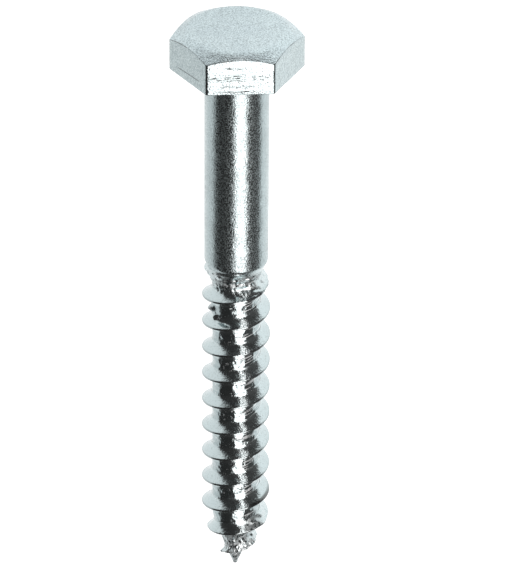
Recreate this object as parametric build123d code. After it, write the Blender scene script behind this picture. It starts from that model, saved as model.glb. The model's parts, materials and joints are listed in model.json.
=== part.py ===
from build123d import *
import os
from math import atan2, ceil, cos, pi, radians, sin, tan

# Lag screw: one piece of steel wire, cold-headed to a hexagon, with a coarse right-hand
# wood-screw thread rolled below a plain shank and a gimlet point at the end.
# Millimetres. The screw is drawn standing, with the bearing face of its head at z = 0, the head
# above it and the point below. "Depth" is the distance below the bearing face, along the axis.
# The finished screw is laid on its side, with its point towards +X, as it rests on a table.

# Hexagon head
across_flats = 17.0
head_height = 6.2
crown_chamfer = 2.57            # how far the top chamfer reaches in from the corners
crown_chamfer_angle = 30.0      # its slope, from the flat top
crown_round = 1.6               # soft edge between the flat top and the chamfer

# Plain shank
length_under_head = 85.0
plain_shank_length = 31.6
shank_diameter = 9.43
neck_reach = 0.6                # how far the hollow neck under the head spreads, both ways
shoulder_angle = 25.0           # slope from the shank down to the root of the thread

# Thread: a right-hand ridge with straight flanks and a narrow crest
pitch = 4.5
crest_diameter = 10.1
root_diameter = 7.0
flank_angle = 32.0              # slope of each flank, from the plane across the axis
crest_land = 0.26               # width of the crest
thread_phase = 313.2            # degrees round the axis at which the crest would reach depth 0

# Run-out: the ridge starts inside the end of the shank and rises to its full height
run_out_sink = 0.15             # how far its first crest lies below the shank's surface
run_out_length = 2.7            # from the end of the shoulder to the full height

# Gimlet point
point_angle = 39.0              # full angle of the cone
point_round = 0.35              # radius of the blunt tip
ridge_stop = 0.8                # where the ridge ends, above the tip
ridge_fade = 5.5                # length over which the ridge dies away towards its end

# How the ridge is drawn
spans_per_turn = 2              # faces round one turn
steps_per_span = 6              # spline points along one face
foot_share = 0.94               # radius of the ridge's buried foot, as a share of the core's radius
slope_step = 0.0001             # step along the axis by which a curve's direction is measured

shank_radius = shank_diameter / 2
crest_radius = crest_diameter / 2
root_radius = root_diameter / 2
corner_radius = across_flats / 2 / cos(pi / 6)
half_point = radians(point_angle / 2)
cone_apex = length_under_head - point_round + point_round / sin(half_point)
shoulder_end = plain_shank_length + (shank_radius - root_radius) / tan(radians(shoulder_angle))


def head():
    """Hexagon prism inside a turned envelope: flat top, chamfered corners, flat seat."""
    prism = extrude(RegularPolygon(across_flats / 2, 6, major_radius=False), head_height)
    slope = radians(crown_chamfer_angle)
    flat_radius = corner_radius - crown_chamfer
    shoulder = (corner_radius, head_height - crown_chamfer * tan(slope))
    widest_round = crown_chamfer / cos(slope) / tan(slope / 2)
    crown = FilletPolyline(
        (0, head_height),
        (flat_radius, head_height),
        shoulder,
        radius=min(crown_round, widest_round * 0.9),
    )
    sides = Polyline(
        shoulder,
        (corner_radius, 0),
        (0, 0),
        (0, head_height),
    )
    return prism & revolve(Plane.XZ * make_face(crown + sides), Axis.Z)


def core():
    """Turned body under the head: hollow neck, plain shank, shoulder, root of the thread, point."""
    neck_radius = shank_radius + neck_reach
    hollow = neck_reach * (1 - cos(pi / 4))
    tip_centre = length_under_head - point_round
    touch = (point_round * cos(half_point), -tip_centre - point_round * sin(half_point))
    middle = (half_point + pi / 2) / 2
    body = Polyline(
        (neck_radius, 0),
        (shank_radius + hollow, -hollow),
        (shank_radius, -neck_reach),
        (shank_radius, -plain_shank_length),
        (root_radius, -shoulder_end),
        (root_radius, -cone_apex + root_radius / tan(half_point)),
        touch,
    )
    tip = ThreePointArc(
        touch,
        (point_round * cos(middle), -tip_centre - point_round * sin(middle)),
        (0, -length_under_head),
    )
    inside = Polyline(
        (0, -length_under_head),
        (0, head_height / 2),
        (neck_radius, head_height / 2),
        (neck_radius, 0),
    )
    return revolve(Plane.XZ * make_face(body + tip + inside), Axis.Z)


def smooth(share):
    """Smooth rise from 0 to 1 as the share goes from 0 to 1, level outside."""
    inside = min(1.0, max(0.0, share))
    return inside * inside * (3 - 2 * inside)


def ridge_core(depth):
    """Radius of the core that the ridge stands on: the root, and the cone of the point."""
    return min(root_radius, (cone_apex - depth) * tan(half_point))


def ridge_crest(depth):
    """Radius of the crest: low in the shank, full along the thread, dying away on the point."""
    first = shank_radius - run_out_sink
    body = first + (crest_radius - first) * smooth((depth - shoulder_end) / run_out_length)
    left = (length_under_head - ridge_stop - depth) / ridge_fade
    kept = 1 - max(0.0, 1 - left) ** 2
    core_radius = ridge_core(depth)
    last = core_radius * (1 + foot_share) / 2
    point = last + (core_radius + crest_radius - root_radius - last) * kept
    return min(body, point)


def ridge_corners(depth):
    """Corners of the ridge's section, from its foot on the head side round to its foot on the
    point side, placed at the turn that the thread has reached at this depth."""
    crest = ridge_crest(depth)
    foot = ridge_core(depth) * foot_share
    half_crest = crest_land / 2
    half_foot = half_crest + (crest - foot) * tan(radians(flank_angle))
    turn = radians(thread_phase) - 2 * pi * depth / pitch
    section = [(foot, half_foot), (crest, half_crest), (crest, -half_crest), (foot, -half_foot)]
    return [Vector(r * cos(turn), r * sin(turn), lift - depth) for r, lift in section]


def ridge_strips(first, last):
    """Ruled faces of the ridge between two depths, from spline to spline of its corners."""
    reach = last - first
    shares = [step / steps_per_span for step in range(steps_per_span + 1)]
    columns = zip(*[ridge_corners(first + reach * share) for share in shares])
    ends = []
    for depth in (first, last):
        pairs = zip(ridge_corners(depth - slope_step), ridge_corners(depth + slope_step))
        ends.append([(after - before) * (reach / slope_step / 2) for before, after in pairs])
    curves = [
        Edge.make_spline(list(points), tangents=list(slopes), parameters=shares, scale=False)
        for points, slopes in zip(columns, zip(*ends))
    ]
    return [Face.make_surface_from_curves(one, two) for one, two in zip(curves, curves[1:] + curves[:1])]


def ridge():
    """The thread's ridge as one closed solid, from inside the shank to just short of the tip."""
    start = plain_shank_length - pitch / 2
    stop = length_under_head - ridge_stop
    spans = ceil((stop - start) / pitch * spans_per_turn)
    depths = [start + (stop - start) * span / spans for span in range(spans + 1)]
    faces = [Face(Wire.make_polygon(ridge_corners(depth), close=True)) for depth in (start, stop)]
    for first, last in zip(depths, depths[1:]):
        faces += ridge_strips(first, last)
    return Solid(Shell(faces))


def rest_slope():
    """Tilt of the axis, in radians, as the screw lies on an edge of its bearing face and on the
    lowest crest of its thread. The underside is the head's flat towards +Y, a quarter turn round."""
    first = (thread_phase / 360 - 1 / 4) * pitch
    turns = range(ceil((shoulder_end - first) / pitch), ceil((length_under_head - first) / pitch))
    crests = [first + pitch * turn for turn in turns]
    falls = [(across_flats / 2 - ridge_crest(depth), depth + crest_land / 2) for depth in crests]
    return min(atan2(fall, reach) for fall, reach in falls)


def laid_down(screw):
    """The screw on its side: point towards +X, resting on z = 0, origin under the middle of its box."""
    slope = rest_slope()
    lying = Plane(origin=(0, 0, 0), x_dir=(0, 1, 0), z_dir=(-cos(slope), 0, sin(slope))) * screw
    box = lying.bounding_box()
    return Pos(-box.center().X, 0, -box.min.Z) * lying


os.makedirs("parts", exist_ok=True)
export_step(laid_down(head() + core() + ridge()), "parts/lag_screw.step")
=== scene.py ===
"""Lag screw, dressed: a cold-headed hexagon, a plain shank and a rolled wood-screw thread, in bright
zinc plate, lying on a pale floor under a strip light.

Sizes are in millimetres, on the screw as drawn: standing, the bearing face of the head at z = 0, the
head above it and the point below. "Depth" is the distance below the bearing face, along the axis.
Each mesh is then laid on the frame, in metres, by the mount of the bearing face.
"""
import json
import logging
from abc import ABC, abstractmethod
from dataclasses import dataclass
from enum import Enum
from math import cos, floor, pi, radians, sin, tan
from typing import Any, Sequence

import bmesh
import bpy
from mathutils import Matrix, Vector


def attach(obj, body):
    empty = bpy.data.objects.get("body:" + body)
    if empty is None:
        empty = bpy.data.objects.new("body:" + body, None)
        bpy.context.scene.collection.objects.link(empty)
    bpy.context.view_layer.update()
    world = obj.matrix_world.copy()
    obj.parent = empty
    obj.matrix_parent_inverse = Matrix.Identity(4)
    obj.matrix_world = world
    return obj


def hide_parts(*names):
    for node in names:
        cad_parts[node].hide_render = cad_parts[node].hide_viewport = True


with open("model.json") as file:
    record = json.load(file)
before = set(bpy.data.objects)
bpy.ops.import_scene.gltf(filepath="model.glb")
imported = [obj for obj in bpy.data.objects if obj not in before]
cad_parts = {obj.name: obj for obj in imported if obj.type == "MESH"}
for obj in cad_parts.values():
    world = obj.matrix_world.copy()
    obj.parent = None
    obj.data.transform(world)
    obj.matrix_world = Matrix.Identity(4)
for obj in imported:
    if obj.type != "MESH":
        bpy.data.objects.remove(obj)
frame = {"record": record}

MM = 0.001
NODE = "lag_screw"
BODY = "root"

# Pitch of the thread, which the finish follows too.
PITCH = 4.5
# The groove's mark counts the depth in this many millimetres.
DEPTH_UNIT = 100.0
# What a noise is on average.
MIDDLE_OF_NOISE = 0.5

Socket = bpy.types.NodeSocket
Colour = tuple[float, float, float]
Span = tuple[float, float]

log = logging.getLogger("lag_screw")


class Mark(Enum):
    """What a mesh keeps at its points for the finish to read.

    The groove's is a vector: the cosine and the sine of the way round the thread, from crest to
    crest, and the depth in its own unit. The others are one number, from 0 to 1.
    """

    WORKED = "worked"
    RIM = "rim"
    GROOVE = "groove"


# ---------------------------------------------------------------- where the screw lies


@dataclass(frozen=True)
class ScrewLie:
    """The screw's own directions as it lies in the frame."""

    seat: Vector
    axis: Vector

    @classmethod
    def from_record(cls, record: dict[str, Any]) -> "ScrewLie":
        """Reads the bearing face's mount.

        Args:
            record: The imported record.

        Returns:
            The lie, with the centre of the bearing face and the direction towards the point.
        """
        mount = next(m for m in record["mounts"] if m["name"] == "bearing_face")
        return cls(Vector(mount["pos_m"]), Vector(mount["axis"]).normalized())

    def turned(self) -> Matrix:
        """Works out how the standing screw is turned to lie.

        Returns:
            The rotation.
        """
        side = Vector((0, 1, 0))
        up_axis = -self.axis
        return Matrix((side, up_axis.cross(side), up_axis)).transposed()

    def placed(self) -> Matrix:
        """Whole move from the standing screw in millimetres to the frame in metres."""
        return Matrix.Translation(self.seat) @ self.turned().to_4x4() @ Matrix.Scale(MM, 4)


# ---------------------------------------------------------------- node trees as formulas


@dataclass(frozen=True)
class Term:
    """A number inside a node tree, with ordinary arithmetic."""

    maker: "NodeMaker"
    socket: Socket

    def __add__(self, other: "Number") -> "Term":
        """Sum."""
        return self.maker.math("ADD", self, other)

    def __radd__(self, other: "Number") -> "Term":
        """Sum, from the right."""
        return self.maker.math("ADD", other, self)

    def __sub__(self, other: "Number") -> "Term":
        """Difference."""
        return self.maker.math("SUBTRACT", self, other)

    def __rsub__(self, other: "Number") -> "Term":
        """Difference, from the right."""
        return self.maker.math("SUBTRACT", other, self)

    def __mul__(self, other: "Number") -> "Term":
        """Product."""
        return self.maker.math("MULTIPLY", self, other)

    def __rmul__(self, other: "Number") -> "Term":
        """Product, from the right."""
        return self.maker.math("MULTIPLY", other, self)

    def __truediv__(self, other: "Number") -> "Term":
        """Quotient."""
        return self.maker.math("DIVIDE", self, other)

    def __pow__(self, other: "Number") -> "Term":
        """Power."""
        return self.maker.math("POWER", self, other)


Number = Term | float | int


class NodeMaker:
    """Adds nodes to a tree and joins them."""

    def __init__(self, tree: bpy.types.NodeTree) -> None:
        """Keeps the tree.

        Args:
            tree: The tree to add to.
        """
        self.tree = tree

    def plug(self, socket: Socket, value: Any) -> None:
        """Joins a socket to a term or another socket, or sets its value.

        Args:
            socket: The input to fill.
            value: A term, a socket or a plain value.
        """
        if isinstance(value, Term):
            value = value.socket
        if isinstance(value, Socket):
            self.tree.links.new(value, socket)
        else:
            socket.default_value = value

    def add(self, kind: str, inputs: dict[Any, Any] | None = None, **settings: Any) -> bpy.types.Node:
        """Adds a node.

        Args:
            kind: The node's type name.
            inputs: Its inputs by name or number.
            **settings: Its properties.

        Returns:
            The node.
        """
        node = self.tree.nodes.new(kind)
        for name, value in settings.items():
            setattr(node, name, value)
        for name, value in (inputs or {}).items():
            self.plug(node.inputs[name], value)
        return node

    def math(self, operation: str, *terms: Number) -> Term:
        """Adds a sum or another function of numbers.

        Args:
            operation: The Math node's operation.
            *terms: Its operands.

        Returns:
            The result.
        """
        node = self.add("ShaderNodeMath", dict(enumerate(terms)), operation=operation)
        return Term(self, node.outputs[0])

    def smoothly(
        self, value: Number, start: Number, end: Number, low: Number = 0.0, high: Number = 1.0
    ) -> Term:
        """Smooth passage from low to high as a value goes from start to end.

        Args:
            value: The value that goes.
            start: Where the passage starts.
            end: Where it ends.
            low: The result before the start.
            high: The result after the end.

        Returns:
            The result.
        """
        inputs = {0: value, 1: start, 2: end, 3: low, 4: high}
        node = self.add("ShaderNodeMapRange", inputs, interpolation_type="SMOOTHSTEP")
        return Term(self, node.outputs[0])

    def vector(self, x: Number, y: Number, z: Number) -> Socket:
        """Adds a vector of three numbers and returns its socket."""
        return self.add("ShaderNodeCombineXYZ", {0: x, 1: y, 2: z}).outputs[0]

    def parts(self, vector: Socket) -> list[Term]:
        """The three parts of a vector."""
        return [Term(self, part) for part in self.add("ShaderNodeSeparateXYZ", {0: vector}).outputs]

    def tinge(self, share: Number, one: Any, two: Any) -> Socket:
        """Goes from one colour to another.

        Args:
            share: How much of the second colour there is.
            one: The first colour, three numbers or a socket.
            two: The second colour, the same.

        Returns:
            The colour's socket.
        """
        ends = [(*end, 1) if isinstance(end, tuple) else end for end in (one, two)]
        inputs = {0: share, 6: ends[0], 7: ends[1]}
        return self.add("ShaderNodeMix", inputs, data_type="RGBA").outputs[2]

    def noise(self, place: Socket, scale: float, detail: float = 0.0, roughness: float = 0.5) -> Term:
        """Adds a noise of places.

        Args:
            place: The vector that the noise reads.
            scale: How many features go to one unit.
            detail: How many finer octaves it has.
            roughness: The share of the finer octaves.

        Returns:
            The noise, about 0.5 on average.
        """
        inputs = {"Vector": place, "Scale": scale, "Detail": detail, "Roughness": roughness}
        return Term(self, self.add("ShaderNodeTexNoise", inputs).outputs[0])


class GeometryTree(NodeMaker):
    """A Geometry Nodes tree with named inputs, made into a plain mesh by make."""

    def __init__(self, name: str) -> None:
        """Starts the tree.

        Args:
            name: The tree's name.
        """
        super().__init__(bpy.data.node_groups.new(name, "GeometryNodeTree"))
        interface = self.tree.interface
        interface.new_socket("Geometry", in_out="INPUT", socket_type="NodeSocketGeometry")
        interface.new_socket("Geometry", in_out="OUTPUT", socket_type="NodeSocketGeometry")
        self.inputs = self.tree.nodes.new("NodeGroupInput")
        self.outputs = self.tree.nodes.new("NodeGroupOutput")
        self.sizes: dict[str, float] = {}

    def size(self, name: str, value: float) -> Term:
        """Adds a named input.

        Args:
            name: The input's name.
            value: The value that the modifier gives it.

        Returns:
            The input as a term.
        """
        item = self.tree.interface.new_socket(name, in_out="INPUT", socket_type="NodeSocketFloat")
        self.sizes[item.identifier] = float(value)
        return Term(self, self.inputs.outputs[name])

    def grid(self, columns: int, rows: int) -> tuple[Socket, Term, Term]:
        """Adds a flat grid of points.

        Args:
            columns: How many columns it has.
            rows: How many rows it has.

        Returns:
            The grid, and the numbers of each point's column and row, from zero.
        """
        grid = self.add("GeometryNodeMeshGrid", {"Vertices X": columns, "Vertices Y": rows})
        index = Term(self, self.add("GeometryNodeInputIndex").outputs[0])
        column = self.math("FLOOR", (index + 0.5) / rows)
        return grid.outputs[0], column, index - column * rows

    def keep(self, shape: Socket, mark: Mark, value: Any, kind: str) -> Socket:
        """Keeps a value at each point of a shape.

        Args:
            shape: The geometry.
            mark: What the value is kept as.
            value: A term or a socket.
            kind: The attribute's data type.

        Returns:
            The geometry with the value.
        """
        inputs = {"Geometry": shape, "Name": mark.value, "Value": value}
        node = self.add("GeometryNodeStoreNamedAttribute", inputs, data_type=kind, domain="POINT")
        return node.outputs[0]

    def make(self, shape: Socket, name: str, material: bpy.types.Material) -> bpy.types.Mesh:
        """Ends the tree, runs it on an empty object and keeps the result.

        Args:
            shape: The geometry that the tree made.
            name: The new mesh's name.
            material: What the shape is made of.

        Returns:
            A plain mesh.
        """
        real = self.add("GeometryNodeRealizeInstances", {0: shape})
        dressed = self.add("GeometryNodeSetMaterial", {0: real.outputs[0], "Material": material})
        self.plug(self.outputs.inputs[0], dressed.outputs[0])
        carrier = bpy.data.objects.new(name + "_tree", bpy.data.meshes.new(name + "_tree"))
        bpy.context.scene.collection.objects.link(carrier)
        modifier = carrier.modifiers.new(name, "NODES")
        modifier.node_group = self.tree
        for identifier, value in self.sizes.items():
            modifier[identifier] = value
        carrier.update_tag()
        graph = bpy.context.evaluated_depsgraph_get()
        mesh = bpy.data.meshes.new_from_object(carrier.evaluated_get(graph))
        bpy.data.objects.remove(carrier)
        mesh.name = name
        return mesh


# ---------------------------------------------------------------- what finishes are made of


class MaterialTree(NodeMaker):
    """A material and the nodes round its shader."""

    def __init__(self, name: str) -> None:
        """Starts the material.

        Args:
            name: The material's name.
        """
        self.material = bpy.data.materials.new(name)
        self.material.use_nodes = True
        super().__init__(self.material.node_tree)
        self.shader = self.tree.nodes["Principled BSDF"]

    def place(self) -> Socket:
        """Object coordinates, in metres."""
        return self.add("ShaderNodeTexCoord").outputs["Object"]

    def place_mm(self) -> Socket:
        """Object coordinates, in millimetres."""
        inputs = {0: self.place(), 3: 1 / MM}
        return self.add("ShaderNodeVectorMath", inputs, operation="SCALE").outputs[0]

    def marked(self, mark: Mark) -> Term:
        """How strongly the mesh is marked, for a mark that is one number."""
        return Term(self, self.add("ShaderNodeAttribute", attribute_name=mark.value).outputs["Fac"])

    def marked_parts(self, mark: Mark) -> list[Term]:
        """The three parts of a mark that is a vector."""
        vector = self.add("ShaderNodeAttribute", attribute_name=mark.value).outputs["Vector"]
        return self.parts(vector)


@dataclass(frozen=True)
class Speckle:
    """Flecks where a noise passes from start to end. Their size is in millimetres."""

    size: float
    start: float
    end: float
    detail: float = 0.0
    roughness: float = 0.5

    def on(self, maker: NodeMaker, place: Socket) -> Term:
        """One on a fleck, zero off it."""
        noise = maker.noise(place, 1 / self.size, self.detail, self.roughness)
        return maker.smoothly(noise, self.start, self.end)


@dataclass(frozen=True)
class Stretch:
    """Part of a line with soft ends: it comes in from start to full and goes from fade to end."""

    start: float
    full: float
    fade: float
    end: float

    def on(self, maker: NodeMaker, value: Term) -> Term:
        """One within the stretch, zero outside it."""
        come = maker.smoothly(value, self.start, self.full)
        return come * maker.smoothly(value, self.fade, self.end, 1.0, 0.0)


@dataclass(frozen=True)
class Patch:
    """Part of the thread: a stretch of its depth, and the side of the screw that it is on, if any."""

    depth: Stretch
    side: Span | None = None
    share: float = 1.0

    def on(self, maker: NodeMaker, depth: Term, side: Term) -> Term:
        """How much of the patch is felt at a place.

        Args:
            maker: The material's maker.
            depth: Depth of the place.
            side: How far it is to the screw's side, towards +Y.

        Returns:
            The share, zero outside the patch.
        """
        felt = self.depth.on(maker, depth) * self.share
        if self.side is None:
            return felt
        return felt * maker.smoothly(side, *self.side)


@dataclass(frozen=True)
class ScuffBand:
    """Band of scuffs on the flat that lies uppermost, in millimetres of the frame.

    Each way it fades out between two shares of its reach.
    """

    along: float
    across: float
    reach_along: float
    reach_across: float
    share: float
    end_along: Span = (1.1, 0.8)
    end_across: Span = (1.2, 0.7)

    def on(self, maker: NodeMaker, x: Term, y: Term) -> Term:
        """How much of the band is felt at a place.

        Args:
            maker: The material's maker.
            x: Place along the screw.
            y: Place across it.

        Returns:
            The share, zero outside the band.
        """
        ahead = maker.math("ABSOLUTE", x - self.along) / self.reach_along
        aside = maker.math("ABSOLUTE", y - self.across) / self.reach_across
        return maker.smoothly(ahead, *self.end_along) * maker.smoothly(aside, *self.end_across) * self.share


@dataclass(frozen=True)
class Scuffs:
    """Fine dashes across the uppermost flat, broken by gaps, in millimetres of the frame.

    Dash and gap are sizes along and across the screw. Each comes in where its noise crosses its
    edge, and a share of the dashes is left in a gap. Above is the height where the scuffs start.
    """

    bands: tuple[ScuffBand, ...] = (
        ScuffBand(-41.55, -0.9, 0.66, 1.6, 0.85),
        ScuffBand(-41.30, -3.7, 0.42, 1.1, 0.78),
        ScuffBand(-40.10, -0.5, 0.22, 2.4, 1.0),
        ScuffBand(-39.35, -0.6, 0.16, 2.6, 1.0),
        ScuffBand(-43.05, -0.6, 0.18, 1.6, 0.75),
        ScuffBand(-41.50, 2.8, 0.40, 1.3, 0.72),
    )
    dash: Span = (0.095, 1.15)
    dash_edge: Span = (0.42, 0.62)
    gap: Span = (1.4, 0.20)
    gap_edge: Span = (0.36, 0.54)
    left_in_gap: float = 0.25
    above: Span = (15.2, 15.9)
    strength: float = 2.3

    def on(self, maker: NodeMaker, place: Socket) -> Term:
        """How strong the scuffs are at a place.

        Args:
            maker: The material's maker.
            place: The place, in millimetres.

        Returns:
            Zero off the scuffs.
        """
        x, y, z = maker.parts(place)
        dashes = maker.noise(maker.vector(x / self.dash[0], y / self.dash[1], 0.0), 1.0)
        breaks = maker.noise(maker.vector(x / self.gap[0], y / self.gap[1], 0.0), 1.0)
        kept = maker.smoothly(breaks, *self.gap_edge, self.left_in_gap, 1.0)
        felt = self.bands[0].on(maker, x, y)
        for band in self.bands[1:]:
            felt = maker.math("MAXIMUM", felt, band.on(maker, x, y))
        high = maker.smoothly(z, *self.above)
        return maker.smoothly(dashes, *self.dash_edge) * kept * felt * high * self.strength


@dataclass(frozen=True)
class Scratch:
    """Fine scratch across a side flat, with soft edges and ends, in millimetres of the frame."""

    along: float = -40.4
    across: float = -7.2
    half_thick: Span = (0.13, 0.06)
    half_long: Span = (1.6, 1.1)

    def on(self, maker: NodeMaker, place: Socket) -> Term:
        """How strong the scratch is at a place.

        Args:
            maker: The material's maker.
            place: The place, in millimetres.

        Returns:
            One on the scratch, zero off it.
        """
        x, y, _ = maker.parts(place)
        thin = maker.smoothly(maker.math("ABSOLUTE", x - self.along), *self.half_thick)
        return thin * maker.smoothly(maker.math("ABSOLUTE", y - self.across), *self.half_long)


# ---------------------------------------------------------------- finishes


@dataclass(frozen=True)
class Ground:
    """What both kinds of plate start from, at each place.

    The place is in millimetres. Worked says how strongly the steel was worked under the zinc,
    patches where the zinc is cloudy, pitted how dark it is with pits, and colour is the clouded one.
    """

    place: Socket
    worked: Term
    patches: Term
    pitted: Term
    colour: Socket


@dataclass(frozen=True)
class Coat:
    """What a finish gives its shader. The height is over the clean form, in millimetres."""

    colour: Socket
    rough: Term
    height: Term


@dataclass(frozen=True)
class BrightZinc(ABC):
    """Bright zinc plate with a bluish passivation: mirror-like, finely pebbled, with small pits.

    Lengths are in millimetres. A share says how much of a thing is let through, from 0 to 1.
    """

    name: str
    tint: Colour
    stain: Colour
    roughness: float
    pebble_height: float
    pebble: float = 0.23
    swell: float = 1.9
    swell_detail: float = 1.5
    swell_height: float = 0.05
    patches: Speckle = Speckle(3.1, 0.38, 0.72, 3.0, 0.6)
    patch_share: float = 0.5
    patch_rough: float = 0.03
    matt: Speckle = Speckle(0.18, 0.43, 0.60)
    matt_rough: float = 0.25
    matt_worn_off: float = 0.75
    pits: Speckle = Speckle(0.22, 0.60, 0.72)
    pit: Colour = (0.10, 0.105, 0.105)
    pit_share: float = 0.18
    streak_rough: float = 0.30

    def ground(self, maker: MaterialTree) -> Ground:
        """Makes what both kinds of plate start from.

        Args:
            maker: The material's maker.

        Returns:
            The ground.
        """
        place = maker.place_mm()
        patches = self.patches.on(maker, place)
        return Ground(
            place=place,
            worked=maker.marked(Mark.WORKED),
            patches=patches,
            pitted=self.pits.on(maker, place) * self.pit_share,
            colour=maker.tinge(patches * self.patch_share, self.tint, self.stain),
        )

    def rough(self, maker: MaterialTree, ground: Ground, streaks_and_glints: Term) -> Term:
        """Roughness of the plate: more on patches, matt flecks, each streak or scuff, and painted glints.

        Args:
            maker: The material's maker.
            ground: The ground.
            streaks_and_glints: One on a streak, a scuff or a painted glint.

        Returns:
            The roughness.
        """
        matt = self.matt.on(maker, ground.place) * self.matt_rough
        matt = matt * (1 - ground.worked * self.matt_worn_off)
        return self.roughness + ground.patches * self.patch_rough + matt + streaks_and_glints * self.streak_rough

    def pebbles(self, maker: MaterialTree, ground: Ground) -> Term:
        """Height of the fine pebbles."""
        return maker.noise(ground.place, 1 / self.pebble, 1.0) * self.pebble_height

    def swells(self, maker: MaterialTree, ground: Ground) -> Term:
        """Height of the wide, shallow unevenness."""
        return maker.noise(ground.place, 1 / self.swell, self.swell_detail) * self.swell_height

    @abstractmethod
    def coat(self, maker: MaterialTree, ground: Ground) -> Coat:
        """Works out the finish.

        Args:
            maker: The material's maker.
            ground: The ground.

        Returns:
            What the shader gets.
        """

    def material(self) -> bpy.types.Material:
        """Makes the material.

        Returns:
            The material.
        """
        maker = MaterialTree(self.name)
        coat = self.coat(maker, self.ground(maker))
        bump = maker.add("ShaderNodeBump", {"Strength": 1.0, "Distance": MM, "Height": coat.height})
        maker.plug(maker.shader.inputs["Base Color"], coat.colour)
        maker.plug(maker.shader.inputs["Roughness"], coat.rough)
        maker.plug(maker.shader.inputs["Normal"], bump.outputs[0])
        maker.shader.inputs["Metallic"].default_value = 1.0
        return maker.material


@dataclass(frozen=True)
class ForgedZinc(BrightZinc):
    """Zinc on the head: specked all over, with painted shade that makes the six flats darker than the
    crown, and dirt along their edge.
    """

    name: str = "forged_zinc"
    tint: Colour = (0.510, 0.610, 0.634)
    stain: Colour = (0.444, 0.534, 0.566)
    roughness: float = 0.15
    pebble_height: float = 0.052
    # Painted shade: a darker tint for the six flats, so that they read darker than the crown.
    flat_painted_shade: Colour = (0.402, 0.482, 0.490)
    flat_shade_less_on_patch: float = 0.30
    specks: Speckle = Speckle(0.22, 0.36, 0.64, 1.0)
    speck: Colour = (0.25, 0.31, 0.325)
    speck_share: float = 0.55
    speck_more_on_flat: float = 0.25
    pit_less_on_flat: float = 0.8
    scuffs: Scuffs = Scuffs()
    scratch: Scratch = Scratch()
    scuff_share: float = 0.4
    rim_patches: Span = (0.0, 0.6)
    rim_dirt: Span = (0.85, 0.3)

    def coat(self, maker: MaterialTree, ground: Ground) -> Coat:
        """Works out the finish.

        Args:
            maker: The material's maker.
            ground: The ground.

        Returns:
            What the shader gets.
        """
        flat = ground.worked
        scuffs = self.scuffs.on(maker, ground.place)
        marks = maker.math("MAXIMUM", scuffs, self.scratch.on(maker, ground.place)) * flat
        # Painted shade on the flats, less where the zinc is cloudy.
        flat_shade_share = flat * (1 - ground.patches * self.flat_shade_less_on_patch)
        colour = maker.tinge(flat_shade_share, ground.colour, self.flat_painted_shade)
        specks = self.specks.on(maker, ground.place) * (self.speck_share + flat * self.speck_more_on_flat)
        colour = maker.tinge(specks, colour, self.speck)
        dark = ground.pitted * (1 - flat * self.pit_less_on_flat) + marks * self.scuff_share
        dirt = maker.smoothly(ground.patches, *self.rim_patches, *self.rim_dirt)
        dark = maker.math("MAXIMUM", dark, maker.marked(Mark.RIM) * dirt)
        return Coat(
            colour=maker.tinge(dark, colour, self.pit),
            rough=self.rough(maker, ground, marks),
            height=self.pebbles(maker, ground) + self.swells(maker, ground),
        )


@dataclass(frozen=True)
class Groove:
    """Where a place lies in the thread.

    Ahead is 1 on the crest and -1 in the middle of the root, and aside is 1 and -1 halfway between
    them. Depth, and how far the place is to the side, towards +Y, are in millimetres. Rooted is 1
    in the root and little on the flanks and the crest.
    """

    ahead: Term
    aside: Term
    depth: Term
    side: Term
    rooted: Term


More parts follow.
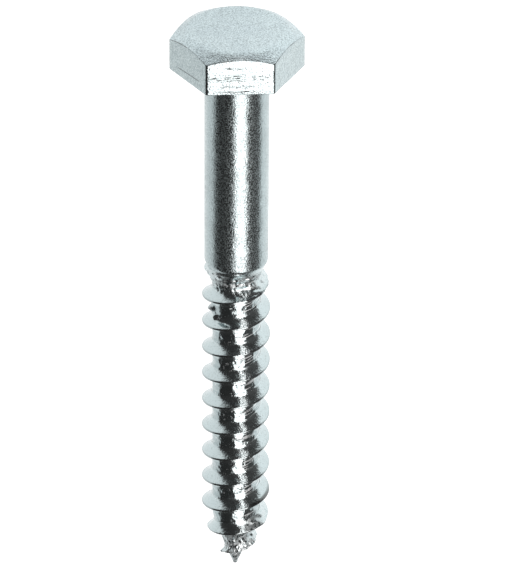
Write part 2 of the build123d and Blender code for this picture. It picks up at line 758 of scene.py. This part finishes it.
@dataclass(frozen=True)
class RolledZinc(BrightZinc):
    """Zinc on the shank and the thread: smoothed and streaked by the rolling, dull where it is torn, with
    painted shade in the root, painted light on the flanks and painted glints in the root.

    Lengths are in millimetres, and depths are from the bearing face. Spans of the root, the groove
    and the crest are of a number that is 1 on the crest and -1 in the middle of the root.
    """

    name: str = "rolled_zinc"
    tint: Colour = (0.362, 0.439, 0.452)
    stain: Colour = (0.300, 0.362, 0.373)
    roughness: float = 0.135
    pebble_height: float = 0.038
    # Painted shade and painted light: the root is tinted darker and the flanks lighter.
    root: Colour = (0.326, 0.395, 0.407)
    flank: Colour = (0.440, 0.520, 0.533)
    # Light colour of scraped and torn zinc, also given to the painted glints.
    scraped_and_glint: Colour = (0.80, 0.86, 0.87)
    pitch: float = PITCH
    into_root: Span = (-0.15, -0.6)
    root_on_flank: float = 0.10
    pebbles_smoothed: float = 0.5
    chatter: float = 0.95
    chatter_detail: float = 1.4
    chatter_height: float = 0.15
    line_width: float = 0.19
    line_length: float = 3.0
    line_drift: float = 9.0
    line_edge: Span = (0.57, 0.64)
    line_groove: Span = (-0.1, -0.6)
    line_side: Span = (-1.0, 1.4)
    glints: Speckle = Speckle(0.30, 0.68, 0.76)
    glint_groups: Speckle = Speckle(1.7, 0.42, 0.60, 1.0)
    glint_groove: Span = (0.3, -0.3)
    glint_share: float = 0.7
    worked_enough: Span = (0.4, 0.9)
    streak_and_glint_share: float = 0.8
    torn_start: Patch = Patch(Stretch(32.0, 32.6, 34.5, 36.0), share=0.7)
    torn_last_turn: Patch = Patch(Stretch(73.2, 74.6, 90.0, 91.0), (0.6, 2.2), 0.55)
    torn_point: Patch = Patch(Stretch(77.8, 79.0, 90.0, 91.0))
    torn_mottle: Speckle = Speckle(0.55, 0.36, 0.58, 1.0)
    burr: Patch = Patch(Stretch(38.7, 39.2, 40.5, 41.0), (-3.3, -4.0))
    torn_share: float = 0.5
    torn_rough: float = 0.35
    worn_line: Span = (0.955, 0.985)
    worn_line_depth: Span = (33.0, 36.0)
    worn_line_share: float = 0.4
    dirt_crest: Span = (0.82, 0.93)
    dirt: Patch = Patch(Stretch(70.9, 71.6, 73.8, 74.8), (1.2, 2.8), 0.9)

    def groove(self, maker: MaterialTree, ground: Ground) -> Groove:
        """Reads where a place lies in the thread.

        Args:
            maker: The material's maker.
            ground: The ground.

        Returns:
            The place in the groove.
        """
        ahead, aside, depth = maker.marked_parts(Mark.GROOVE)
        return Groove(
            ahead=ahead,
            aside=aside,
            depth=depth * DEPTH_UNIT,
            side=maker.parts(ground.place)[1],
            rooted=maker.smoothly(ahead, *self.into_root, self.root_on_flank, 1.0),
        )

    def torn(self, maker: MaterialTree, ground: Ground, groove: Groove) -> Term:
        """How dull the zinc is where the steel was torn, at the thread's start and towards its point.

        Args:
            maker: The material's maker.
            ground: The ground.
            groove: The place in the groove.

        Returns:
            The share, zero to one.
        """
        start, last_turn, point, burr = (
            patch.on(maker, groove.depth, groove.side)
            for patch in (self.torn_start, self.torn_last_turn, self.torn_point, self.burr)
        )
        torn = maker.math("MAXIMUM", start, maker.math("MAXIMUM", point, last_turn))
        return maker.math("MAXIMUM", torn * self.torn_mottle.on(maker, ground.place), burr)

    def soiled_crest(self, maker: MaterialTree, groove: Groove) -> Term:
        """How dark the crest is: a thin worn line all along, dirt on one side of the last turn.

        Args:
            maker: The material's maker.
            groove: The place in the groove.

        Returns:
            The share, zero to one.
        """
        line = maker.smoothly(groove.ahead, *self.worn_line) * self.worn_line_share
        line = line * maker.smoothly(groove.depth, *self.worn_line_depth)
        dirt = self.dirt.on(maker, groove.depth, groove.side)
        return maker.math("MAXIMUM", line, dirt * maker.smoothly(groove.ahead, *self.dirt_crest))

    def streaks_and_glints(self, maker: MaterialTree, ground: Ground, groove: Groove) -> Term:
        """Lines that the rolling left along the root, on one side, and painted glints in groups.

        Args:
            maker: The material's maker.
            ground: The ground.
            groove: The place in the groove.

        Returns:
            One on a streak, zero off it.
        """
        x, y, z = maker.parts(ground.place)
        across = maker.math("ARCTAN2", groove.aside, groove.ahead) * (self.pitch / (2 * pi))
        along = z / self.line_length + x / self.line_drift
        place = maker.vector(across / self.line_width, y / self.line_length, along)
        lines = maker.smoothly(maker.noise(place, 1.0), *self.line_edge)
        lines = lines * maker.smoothly(groove.ahead, *self.line_groove) * maker.smoothly(y, *self.line_side)
        # Painted glints: sparse bright specks, lightened and roughened in the coat.
        glints = self.glints.on(maker, ground.place) * self.glint_groups.on(maker, ground.place)
        glints = glints * maker.smoothly(groove.ahead, *self.glint_groove) * self.glint_share
        worked = maker.smoothly(ground.worked, *self.worked_enough)
        return maker.math("MAXIMUM", lines, glints) * worked

    def height(self, maker: MaterialTree, ground: Ground, groove: Groove) -> Term:
        """Height over the clean form: the pebbles are smoothed and the root is left wavy.

        Args:
            maker: The material's maker.
            ground: The ground.
            groove: The place in the groove.

        Returns:
            The height, in millimetres.
        """
        pebbles = self.pebbles(maker, ground) * (1 - ground.worked * self.pebbles_smoothed)
        chatter = maker.noise(ground.place, 1 / self.chatter, self.chatter_detail) * self.chatter_height
        return pebbles + self.swells(maker, ground) + chatter * ground.worked * groove.rooted

    def coat(self, maker: MaterialTree, ground: Ground) -> Coat:
        """Works out the finish.

        Args:
            maker: The material's maker.
            ground: The ground.

        Returns:
            What the shader gets.
        """
        groove = self.groove(maker, ground)
        torn = self.torn(maker, ground, groove)
        streaks_and_glints = self.streaks_and_glints(maker, ground, groove)
        # Painted shade in the root and painted light on the flanks, as a tint across the groove.
        thread = maker.tinge((1 - groove.rooted) / (1 - self.root_on_flank), self.root, self.flank)
        colour = maker.tinge(ground.worked, ground.colour, thread)
        dark = maker.math("MAXIMUM", ground.pitted, self.soiled_crest(maker, groove))
        # Streak lines and torn zinc turn to the scraped colour, and so do the painted glints.
        bare_and_glints = maker.math("MAXIMUM", streaks_and_glints * self.streak_and_glint_share, torn * self.torn_share)
        return Coat(
            colour=maker.tinge(bare_and_glints, maker.tinge(dark, colour, self.pit), self.scraped_and_glint),
            rough=self.rough(maker, ground, streaks_and_glints) + torn * self.torn_rough,
            height=self.height(maker, ground, groove),
        )


@dataclass(frozen=True)
class PaleFloor:
    """Matt white sheet that glows, a little more on the side of the lamp, so that it stays plain.

    The glow goes from one side of the screw to the other over the spread and falls off far from it,
    in metres.
    """

    shade: Colour = (0.30, 0.30, 0.30)
    roughness: float = 0.9
    glow: float = 0.90
    glow_lamp_side: float = 1.24
    glow_far: float = 0.45
    spread: float = 0.04
    fall: Span = (0.085, 0.22)

    def material(self) -> bpy.types.Material:
        """Makes the material.

        Returns:
            The material.
        """
        maker = MaterialTree("pale_floor")
        place = maker.place()
        side = maker.parts(place)[1]
        glow = maker.smoothly(side, -self.spread, self.spread, self.glow, self.glow_lamp_side)
        reach = maker.add("ShaderNodeVectorMath", {0: place}, operation="LENGTH").outputs["Value"]
        near = maker.smoothly(Term(maker, reach), *self.fall, 1.0, self.glow_far)
        inputs = maker.shader.inputs
        maker.plug(inputs["Emission Strength"], glow * near)
        inputs["Emission Color"].default_value = (1, 1, 1, 1)
        inputs["Base Color"].default_value = (*self.shade, 1)
        inputs["Roughness"].default_value = self.roughness
        inputs["Specular IOR Level"].default_value = 0.0
        return maker.material


# ---------------------------------------------------------------- the threaded shank


@dataclass(frozen=True)
class Winding:
    """Where the points of a grid go on the turned skin.

    Turn is a point's angle round the axis, in turns. Helix counts the turns of the thread down to
    it, and the crest is at whole ones.
    """

    grid: Socket
    turn: Term
    depth: Term
    helix: Term


@dataclass(frozen=True)
class Blow:
    """Small local swelling of the skin, or a hollow where the height is below zero.

    The angle is in degrees, everything else in millimetres.
    """

    angle: float
    depth: float
    around: float
    along: float
    height: float

    def rise(self, tree: GeometryTree, winding: Winding, radius: Term) -> Term:
        """How much the blow lifts the skin.

        Args:
            tree: The thread's tree.
            winding: Where the points are.
            radius: Radius of the skin without the blow.

        Returns:
            The lift.
        """
        off = winding.turn - self.angle / 360
        aside = tree.math("SINE", off * pi) * radius * (2 / self.around)
        ahead = (winding.depth - self.depth) * (1 / self.along)
        share = tree.math("EXPONENT", (aside * aside + ahead * ahead) * -1)
        this_side = tree.math("GREATER_THAN", tree.math("COSINE", off * (2 * pi)), 0.0)
        return share * this_side * self.height


@dataclass(frozen=True)
class TornFolds:
    """Folds in the skin, where a noise is near its middle, at the thread's start and near the tip.

    Lengths are in millimetres. The start is measured from the end of the plain shank, towards the
    point, and the tip from the end of the screw, towards the head.
    """

    height: float = 0.42
    around: float = 4.0
    along: float = 1.5
    fineness: float = 0.9
    detail: float = 2.0
    fold: float = 0.06
    start: Stretch = Stretch(0.6, 1.6, 2.9, 5.9)
    tip: Stretch = Stretch(9.0, 5.0, 2.0, 0.7)
    tip_share: float = 1.15

    def rise(self, tree: GeometryTree, winding: Winding, plain_length: float, length: float) -> Term:
        """How much the folds lift the skin.

        Args:
            tree: The thread's tree.
            winding: Where the points are.
            plain_length: Depth where the plain shank ends.
            length: Depth of the tip.

        Returns:
            The lift.
        """
        angle = winding.turn * (2 * pi)
        ahead, aside = tree.math("COSINE", angle) * self.around, tree.math("SINE", angle) * self.around
        place = tree.vector(ahead, aside, winding.depth * self.along)
        noise = tree.noise(place, self.fineness, self.detail)
        folds = tree.math("ABSOLUTE", noise - MIDDLE_OF_NOISE) - self.fold
        share = self.start.on(tree, winding.depth - plain_length)
        share = share + self.tip.on(tree, length - winding.depth) * self.tip_share
        return folds * share * (-2 * self.height)


@dataclass
class ThreadedShank:
    """Plain shank, rolled thread and gimlet point, as one turned skin with a helical ridge.

    Angles and the thread's phase are in degrees. Rows gather at the crest and crowd to the neck.
    Within the seam the thread's skin has no ridge, so that it meets the plain shank's.
    """

    length: float = 85.0
    plain_length: float = 31.6
    shank_radius: float = 4.715
    neck: float = 0.6
    shoulder_angle: float = 25.0
    pitch: float = PITCH
    crest_radius: float = 5.05
    root_radius: float = 3.5
    upper_flank: float = 33.0
    lower_flank: float = 12.0
    crest_land: float = 0.26
    thread_phase: float = 313.2
    run_out_sink: float = 0.15
    run_out_length: float = 2.7
    point_angle: float = 39.0
    point_round: float = 0.35
    ridge_stop: float = 0.8
    ridge_fade: float = 5.5
    ridge_sink: float = 0.3
    shoulder_soft: float = 0.12
    root_soft: float = 0.25
    point_soft: float = 0.5
    crest_soft: float = 0.10
    upper_blend: float = 1.70
    lower_blend: float = 1.0
    least_blend: float = 0.02
    wander: float = 0.05
    wander_fineness: float = 0.9
    wander_detail: float = 2.0
    folds: TornFolds = TornFolds()
    blows: tuple[Blow, ...] = (
        # Small burrs and raised folds where the rolling starts, and a low swelling among them.
        Blow(186, 33.8, 0.35, 0.30, 0.30),
        Blow(297, 33.3, 0.80, 0.25, 0.30),
        Blow(188, 34.25, 2.20, 0.95, 0.46),
        Blow(205, 35.5, 0.80, 0.13, 0.20),
        Blow(228, 35.15, 0.90, 0.13, 0.24),
        Blow(251, 34.8, 0.90, 0.13, 0.22),
        Blow(300, 35.6, 2.60, 0.13, 0.14),
        Blow(285, 34.4, 0.90, 0.22, 0.28),
        Blow(309, 34.9, 0.70, 0.25, 0.28),
        # Burr and nick on the second turn.
        Blow(191, 39.6, 0.62, 0.50, 0.85),
        Blow(209, 40.5, 0.40, 0.30, 0.45),
        Blow(238, 40.75, 1.00, 0.17, -0.40),
        # Lumps on the last turn.
        Blow(352, 72.7, 2.20, 0.75, 0.50),
        Blow(325, 76.2, 1.10, 0.50, 0.22),
        Blow(318, 74.7, 0.90, 0.28, 0.20),
        Blow(336, 75.3, 0.80, 0.30, 0.24),
        Blow(312, 75.7, 0.70, 0.26, 0.20),
        # Bent spur, lump and hollow on the point.
        Blow(196, 82.6, 0.50, 0.35, 0.42),
        Blow(300, 80.0, 0.70, 0.45, 0.35),
        Blow(250, 81.5, 0.60, 0.40, -0.25),
    )
    around: int = 160
    rows_per_turn: int = 32
    rows_on_shank: int = 48
    gather: float = 0.72
    crowd: float = 3.0
    worked_length: float = 0.8
    seam: float = 0.01
    weld: float = 0.002
    finish: RolledZinc = RolledZinc()

    @property
    def overlap_start(self) -> float:
        """Depth where the plain skin ends and the thread's skin starts, inside the plain shank."""
        return self.plain_length - self.pitch / 2

    @property
    def phase(self) -> float:
        """The thread's phase, in turns."""
        return self.thread_phase / 360

    def core(self, tree: GeometryTree, depth: Term, length: Term) -> Term:
        """Radius of the body that the ridge stands on.

        Args:
            tree: The thread's tree.
            depth: Depth of a point.
            length: Length under the head.

        Returns:
            The radius.
        """
        shank = tree.size("Shank radius", self.shank_radius)
        root = tree.size("Root radius", self.root_radius)
        plain = tree.size("Plain length", self.plain_length)
        tip = tree.size("Point round", self.point_round)
        half_point = radians(self.point_angle / 2)
        shoulder = shank - (depth - plain) * tan(radians(self.shoulder_angle))
        body = tree.math("SMOOTH_MIN", shank, shoulder, self.shoulder_soft)
        body = tree.math("SMOOTH_MAX", body, root, self.root_soft)
        cone = (length - tip + tip / sin(half_point) - depth) * tan(half_point)
        body = tree.math("SMOOTH_MIN", body, cone, self.point_soft)
        past = tree.math("MAXIMUM", depth - (length - tip), 0.0)
        ball = tree.math("SQRT", tree.math("MAXIMUM", tip * tip - past * past, 0.0))
        rounded = tree.math("GREATER_THAN", depth, length - tip - tip * sin(half_point))
        return body * (1 - rounded) + tree.math("MINIMUM", body, ball) * rounded

    def crest(self, tree: GeometryTree, depth: Term, length: Term, core: Term) -> Term:
        """Radius of the ridge's crest: low in the shank, full along the thread, dying on the point.

        Args:
            tree: The thread's tree.
            depth: Depth of a point.
            length: Length under the head.
            core: Radius of the core there.

        Returns:
            The radius.
        """
        full = tree.size("Crest radius", self.crest_radius)
        shoulder = (self.shank_radius - self.root_radius) / tan(radians(self.shoulder_angle))
        start = self.plain_length + shoulder
        first = self.shank_radius - self.run_out_sink
        body = tree.smoothly(depth, start, start + self.run_out_length, first, full)
        left = (length - self.ridge_stop - depth) / self.ridge_fade
        kept = 1 - tree.math("MAXIMUM", 1 - left, 0.0) ** 2
        rise = (full - self.root_radius) * kept
        point = core + tree.math("MAXIMUM", rise, -self.ridge_sink)
        wave = tree.noise(tree.vector(depth * self.wander_fineness, 0.0, 0.0), 1.0, self.wander_detail)
        wave = (wave - MIDDLE_OF_NOISE) * (2 * self.wander)
        return tree.math("MINIMUM", body, point) + wave

    def blend(self, tree: GeometryTree, depth: Term, lower: Term) -> Term:
        """How softly the ridge runs into its root: hardly at all at the shank and at the very tip.

        Args:
            tree: The thread's tree.
            depth: Depth of a point.
            lower: One on the side of the ridge towards the point, zero on the other.

        Returns:
            The length of the blend.
        """
        full = self.upper_blend + (self.lower_blend - self.upper_blend) * lower
        along = Stretch(
            self.plain_length,
            self.plain_length + self.pitch / 2,
            self.length - self.pitch,
            self.length - self.ridge_stop,
        )
        return full * (along.on(tree, depth) + self.least_blend)

    def ridged(self, tree: GeometryTree, winding: Winding, core: Term, length: Term, pitch: Term) -> Term:
        """Radius of the core with the helical ridge on it.

        Args:
            tree: The thread's tree.
            winding: Where the points are.
            core: Radius of the core there.
            length: Length under the head.
            pitch: The thread's pitch.

        Returns:
            The radius.
        """
        below = (winding.helix - tree.math("ROUND", winding.helix)) * pitch
        lower = tree.math("GREATER_THAN", below, 0.0)
        half_land = self.crest_land / 2
        upper_fall = (below * -1 - half_land) / tan(radians(self.upper_flank))
        lower_fall = (below - half_land) / tan(radians(self.lower_flank))
        fall = upper_fall * (1 - lower) + lower_fall * lower
        crest = self.crest(tree, winding.depth, length, core)
        ridge = tree.math("SMOOTH_MIN", crest, crest - fall, self.crest_soft)
        return tree.math("SMOOTH_MAX", core, ridge, self.blend(tree, winding.depth, lower))

    def wound(self, tree: GeometryTree, length: Term, pitch: Term) -> Winding:
        """Rows of points that follow the helix, gathered at the crest.

        Args:
            tree: The thread's tree.
            length: Length under the head.
            pitch: The thread's pitch.

        Returns:
            Where the points are.
        """
        first_turn = floor(self.overlap_start / self.pitch - self.phase)
        turns = self.length / self.pitch - self.phase + 1 - first_turn
        grid, column, row = tree.grid(self.around + 1, int(turns * self.rows_per_turn) + 2)
        turn = column / self.around
        evenly = row / self.rows_per_turn
        bunched = evenly - tree.math("SINE", evenly * (2 * pi)) * (self.gather / (2 * pi))
        depth = (bunched + (first_turn + self.phase) - turn) * pitch
        depth = tree.math("MINIMUM", tree.math("MAXIMUM", depth, self.overlap_start), length)
        return Winding(grid, turn, depth, depth / pitch + turn - self.phase)

    def thread(self, tree: GeometryTree) -> Socket:
        """The thread's skin, from inside the plain shank to the tip.

        Args:
            tree: The thread's tree.

        Returns:
            The geometry.
        """
        length = tree.size("Length", self.length)
        pitch = tree.size("Pitch", self.pitch)
        winding = self.wound(tree, length, pitch)
        core = self.core(tree, winding.depth, length)
        skin = self.ridged(tree, winding, core, length, pitch)
        for blow in self.blows:
            skin = skin + blow.rise(tree, winding, skin)
        skin = skin + self.folds.rise(tree, winding, self.plain_length, self.length)
        first_row = tree.math("LESS_THAN", winding.depth, self.overlap_start + self.seam)
        return self.wrapped(tree, winding, core * first_row + skin * (1 - first_row))

    def wrapped(self, tree: GeometryTree, winding: Winding, radius: Term) -> Socket:
        """Puts a grid's points round the axis, with what the finish reads.

        Args:
            tree: The thread's tree.
            winding: Where the points are.
            radius: Radius of each point.

        Returns:
            The geometry.
        """
        angle, helix = winding.turn * (2 * pi), winding.helix * (2 * pi)
        x, y = radius * tree.math("COSINE", angle), radius * tree.math("SINE", angle)
        place = tree.vector(x, y, winding.depth * -1)
        moved = tree.add("GeometryNodeSetPosition", {"Geometry": winding.grid, "Position": place})
        ahead, aside = tree.math("COSINE", helix), tree.math("SINE", helix)
        groove = tree.vector(ahead, aside, winding.depth / DEPTH_UNIT)
        worked = tree.smoothly(winding.depth, self.plain_length, self.plain_length + self.worked_length)
        grooved = tree.keep(moved.outputs[0], Mark.GROOVE, groove, "FLOAT_VECTOR")
        return tree.keep(grooved, Mark.WORKED, worked, "FLOAT")

    def shank(self, tree: GeometryTree) -> Socket:
        """The plain shank, from a flat end inside the head down to the thread's skin.

        Its first row lies on the axis, and the others crowd towards the neck.

        Args:
            tree: The thread's tree.

        Returns:
            The geometry.
        """
        grid, column, row = tree.grid(self.around + 1, self.rows_on_shank + 1)
        turn = column / self.around
        along = tree.math("MAXIMUM", row - 1, 0.0) / (self.rows_on_shank - 1)
        depth = along ** self.crowd * (self.overlap_start + self.neck) - self.neck
        up = tree.math("MAXIMUM", 1 - tree.math("MAXIMUM", depth, 0.0) / self.neck, 0.0)
        flare = (1 - tree.math("SQRT", 1 - up * up)) * self.neck
        on_axis = tree.math("LESS_THAN", row, 0.5)
        winding = Winding(grid, turn, depth, depth / self.pitch + turn - self.phase)
        return self.wrapped(tree, winding, (flare + self.shank_radius) * (1 - on_axis))

    def mesh(self) -> bpy.types.Mesh:
        """Grows shank and thread by one tree and joins them into a closed skin.

        Returns:
            The mesh, standing, in millimetres.
        """
        tree = GeometryTree("rolled_thread")
        both = tree.add("GeometryNodeJoinGeometry")
        for skin in (self.shank(tree), self.thread(tree)):
            tree.plug(both.inputs[0], skin)
        inputs = {"Geometry": both.outputs[0], "Distance": self.weld}
        closed = tree.add("GeometryNodeMergeByDistance", inputs)
        return tree.make(closed.outputs[0], "threaded_shank", self.finish.material())


# ---------------------------------------------------------------- the head


def shares(count: int) -> list[float]:
    """Even steps from one step up to the whole."""
    return [k / count for k in range(1, count + 1)]


@dataclass
class HexHead:
    """Cold-formed hexagon: domed chamfer, six flats and a flat bearing face.

    The inner ring of the bearing face lies hidden in the shank. A section has rows of points over
    the top, round the edge to a flat, down the flat, and round the edge below it. Sharpness says how
    closely the corners follow a true hexagon's.
    """

    across_flats: float = 17.0
    height: float = 6.2
    crown_chamfer: float = 2.57
    crown_angle: float = 29.0
    crown_round: float = 1.6
    edge_round: float = 0.09
    seat_round: float = 0.12
    corner_sharpness: float = 150.0
    inner_ring: float = 4.2
    around: int = 240
    top_rows: int = 26
    edge_rows: int = 5
    flat_rows: int = 6
    finish: ForgedZinc = ForgedZinc()

    def reach(self, angle: float) -> float:
        """Radius of the hexagon at an angle, with its corners a little rounded.

        Args:
            angle: Angle round the axis, in radians.

        Returns:
            The radius.
        """
        power = self.corner_sharpness
        facing = [max(0.0, cos(angle - pi / 6 - k * pi / 3)) for k in range(6)]
        return self.across_flats / 2 / sum(c ** power for c in facing) ** (1 / power)

    def crown(self, radius: float) -> float:
        """Height of the crown at a radius: flat, then a soft bend into the chamfer.

        Args:
            radius: Distance from the axis.

        Returns:
            The height over the bearing face.
        """
        corner = self.across_flats / 2 / cos(pi / 6)
        slope = radians(self.crown_angle)
        bend = corner - self.crown_chamfer
        half = self.crown_round * tan(slope / 2)
        if radius <= bend - half:
            return self.height
        if radius >= bend + half * cos(slope):
            return self.height - (radius - bend) * tan(slope)
        out = radius - (bend - half)
        return self.height - self.crown_round + (self.crown_round ** 2 - out ** 2) ** 0.5

    def edge(self, reach: float, share: float) -> tuple[float, float]:
        """Point of the soft edge between the crown and a flat.

        Args:
            reach: Radius of the flat.
            share: How far round the edge the point is, from 0 on the crown to 1 on the flat.

        Returns:
            Its radius and height.
        """
        start = Vector((reach - self.edge_round, self.crown(reach - self.edge_round)))
        peak = Vector((reach, self.crown(reach)))
        end = Vector((reach, self.crown(reach) - self.edge_round))
        radius, height = start.lerp(peak, share).lerp(peak.lerp(end, share), share)
        return radius, height

    def profile(self, angle: float) -> list[tuple[float, float]]:
        """Section of the head at an angle, from the top centre round to the bearing face.

        Args:
            angle: Angle round the axis, in radians.

        Returns:
            Pairs of radius and height.
        """
        reach = self.reach(angle)
        lid = reach - self.edge_round
        top = self.crown(reach) - self.edge_round
        points = [(lid * share, self.crown(lid * share)) for share in shares(self.top_rows)]
        points += [self.edge(reach, share) for share in shares(self.edge_rows)[:-1]]
        points.append((reach, top))
        points += [(reach, top + (self.seat_round - top) * share) for share in shares(self.flat_rows)]
        for share in shares(self.edge_rows):
            radius = reach - self.seat_round * (1 - cos(share * pi / 2))
            points.append((radius, self.seat_round * (1 - sin(share * pi / 2))))
        points.append((self.inner_ring, 0.0))
        return points

    def marks(self) -> dict[Mark, slice]:
        """Which points of a section each mark covers: a flat's, and those of the edge over it."""
        flat = self.top_rows + self.edge_rows - 1
        return {
            Mark.WORKED: slice(flat, flat + self.flat_rows + 2),
            Mark.RIM: slice(self.top_rows, flat),
        }

    def mesh(self) -> bpy.types.Mesh:
        """Skins the sections into a closed mesh.

        Returns:
            The mesh, standing, in millimetres.
        """
        work = bmesh.new()
        layers = {mark: work.verts.layers.float.new(mark.value) for mark in self.marks()}
        top = work.verts.new((0, 0, self.height))
        under = work.verts.new((0, 0, 0))
        columns = []
        for step in range(self.around):
            angle = 2 * pi * step / self.around
            columns.append(
                [work.verts.new((r * cos(angle), r * sin(angle), z)) for r, z in self.profile(angle)]
            )
        for one, two in zip(columns, columns[1:] + columns[:1]):
            work.faces.new((top, one[0], two[0]))
            for k in range(len(one) - 1):
                work.faces.new((one[k], one[k + 1], two[k + 1], two[k]))
            work.faces.new((one[-1], under, two[-1]))
        for column in columns:
            for mark, covered in self.marks().items():
                for vert in column[covered]:
                    vert[layers[mark]] = 1.0
        mesh = bpy.data.meshes.new("hex_head")
        work.to_mesh(mesh)
        work.free()
        mesh.materials.append(self.finish.material())
        return mesh


# ---------------------------------------------------------------- putting pieces in the frame


@dataclass
class Bench:
    """Lays finished meshes on the frame as pieces of the screw.

    Points nearer than the weld, in metres, become one, and faces thinner than the sliver go.
    """

    lie: ScrewLie
    weld: float = 1e-7
    sliver: float = 1e-8

    def lay(self, mesh: bpy.types.Mesh, name: str) -> bpy.types.Object:
        """Makes a piece of a standing mesh.

        Args:
            mesh: The mesh, standing, in millimetres.
            name: The piece's name.

        Returns:
            The piece.
        """
        mesh.transform(self.lie.placed())
        work = bmesh.new()
        work.from_mesh(mesh)
        bmesh.ops.remove_doubles(work, verts=work.verts, dist=self.weld)
        bmesh.ops.dissolve_degenerate(work, edges=work.edges, dist=self.sliver)
        open_edges = [edge for edge in work.edges if edge.is_boundary]
        bmesh.ops.holes_fill(work, edges=open_edges, sides=0)
        bmesh.ops.recalc_face_normals(work, faces=work.faces)
        left_open = sum(1 for edge in work.edges if not edge.is_manifold)
        work.to_mesh(mesh)
        triangles = sum(len(face.verts) - 2 for face in work.faces)
        work.free()
        mesh.shade_smooth()
        mesh.update()
        piece = bpy.data.objects.new(name, mesh)
        bpy.context.scene.collection.objects.link(piece)
        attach(piece, BODY)
        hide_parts(NODE)
        log.info("%s: %d triangles, %d open edges", name, triangles, left_open)
        return piece


# ---------------------------------------------------------------- studio


@dataclass(frozen=True)
class Panel:
    """Rectangular soft light that faces the screw.

    Lean is the angle from straight up towards the point, side the angle towards +Y, in degrees.
    Lengths are in metres; the shift moves the panel along its length, towards the head.
    """

    name: str
    lean: float
    side: float
    distance: float
    width: float
    length: float
    shift: float
    power: float

    def hang(self, colour: Colour) -> bpy.types.Object:
        """Hangs the panel.

        Args:
            colour: The light's colour.

        Returns:
            The lamp object.
        """
        lean, side = radians(self.lean), radians(self.side)
        back = Vector((sin(lean), cos(lean) * sin(side), cos(lean) * cos(side)))
        along = back.cross(Vector((0, 1, 0))).normalized()
        across = along.cross(back)
        lamp = bpy.data.lights.new(self.name, "AREA")
        lamp.shape = "RECTANGLE"
        lamp.size = self.width
        lamp.size_y = self.length
        lamp.energy = self.power
        lamp.color = colour
        holder = bpy.data.objects.new(self.name, lamp)
        centre = back * self.distance + along * self.shift
        turned = Matrix((across, along, back)).transposed().to_4x4()
        holder.matrix_world = Matrix.Translation(centre) @ turned
        holder.visible_camera = False
        bpy.context.scene.collection.objects.link(holder)
        return holder


@dataclass
class Studio:
    """Pale floor, a strip light over the screw, a narrow panel beyond the head and a dim room.

    The room is lighter on the side of the lamp, from one direction to the other of the span. The
    floor's size is in metres.
    """

    floor_size: float = 8.0
    panels: tuple[Panel, ...] = (
        Panel("strip", 10.0, 11.2, 0.60, 0.41, 1.00, 0.14, 5.3),
        Panel("end_panel", -62.0, 4.0, 0.60, 0.06, 0.55, 0.0, 0.40),
    )
    warmth: Colour = (1.0, 0.91, 0.89)
    room: float = 0.050
    room_lamp_side: float = 0.125
    room_span: Span = (0.2, 0.9)

    def build(self) -> None:
        """Makes the floor, the lights and the room."""
        self.floor()
        for panel in self.panels:
            panel.hang(self.warmth)
        world = bpy.data.worlds.new("room")
        world.use_nodes = True
        maker = NodeMaker(world.node_tree)
        background = world.node_tree.nodes["Background"]
        background.inputs["Color"].default_value = (*self.warmth, 1)
        side = maker.parts(maker.add("ShaderNodeTexCoord").outputs["Generated"])[1]
        light = maker.smoothly(side, *self.room_span, self.room, self.room_lamp_side)
        maker.plug(background.inputs["Strength"], light)
        bpy.context.scene.world = world
        bpy.context.scene.view_settings.view_transform = "Standard"

    def floor(self) -> None:
        """Makes the floor under the screw."""
        half = self.floor_size / 2
        mesh = bpy.data.meshes.new("floor")
        corners = [(-half, -half, 0), (half, -half, 0), (half, half, 0), (-half, half, 0)]
        mesh.from_pydata(corners, [], [(0, 1, 2, 3)])
        mesh.materials.append(PaleFloor().material())
        floor_piece = bpy.data.objects.new("floor", mesh)
        bpy.context.scene.collection.objects.link(floor_piece)


@dataclass
class Viewpoint:
    """Camera above the lying screw, on the side of its head, with the head at the picture's top.

    Angles are in degrees. The distance, the aim and the sensor are in millimetres, and the aim is
    measured from the middle of the bearing face.
    """

    lie: ScrewLie
    lens: float = 355.3
    sensor: float = 36.0
    distance: float = 819.61
    lean: float = 30.20
    turn: float = 3.63
    roll: float = 0.37
    aim_depth: float = 35.77
    aim_side: float = 3.35
    nearest: float = 10.0

    def build(self) -> None:
        """Makes the camera and makes it the scene's."""
        lean, turn, roll = radians(self.lean), radians(self.turn), radians(self.roll)
        right = Vector((cos(turn), -sin(turn), 0))
        inward = Vector((sin(turn), cos(turn), 0))
        down = Vector((0, 0, -1))
        look = inward * cos(lean) + down * sin(lean)
        up = inward * sin(lean) - down * cos(lean)
        level_right = right * cos(roll) + up * sin(roll)
        level_up = up * cos(roll) - right * sin(roll)
        aim = right * self.aim_side + down * self.aim_depth
        turned = self.lie.turned()
        place = self.lie.seat + turned @ (aim - look * self.distance) * MM
        axes = Matrix((turned @ level_right, turned @ level_up, turned @ -look)).transposed()
        lens = bpy.data.cameras.new("camera")
        lens.lens = self.lens
        lens.sensor_fit = "AUTO"
        lens.sensor_width = self.sensor
        lens.clip_start = self.nearest * MM
        camera = bpy.data.objects.new("camera", lens)
        camera.matrix_world = Matrix.Translation(place) @ axes.to_4x4()
        bpy.context.scene.collection.objects.link(camera)
        bpy.context.scene.camera = camera


def main() -> None:
    """Builds the screw, then its studio and camera."""
    logging.basicConfig(level=logging.INFO, format="%(name)s: %(message)s")
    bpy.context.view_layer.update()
    lie = ScrewLie.from_record(frame["record"])
    bench = Bench(lie)
    bench.lay(HexHead().mesh(), "hex_head")
    bench.lay(ThreadedShank().mesh(), "threaded_shank")
    Studio().build()
    Viewpoint(lie).build()


if __name__ == "__main__":
    main()
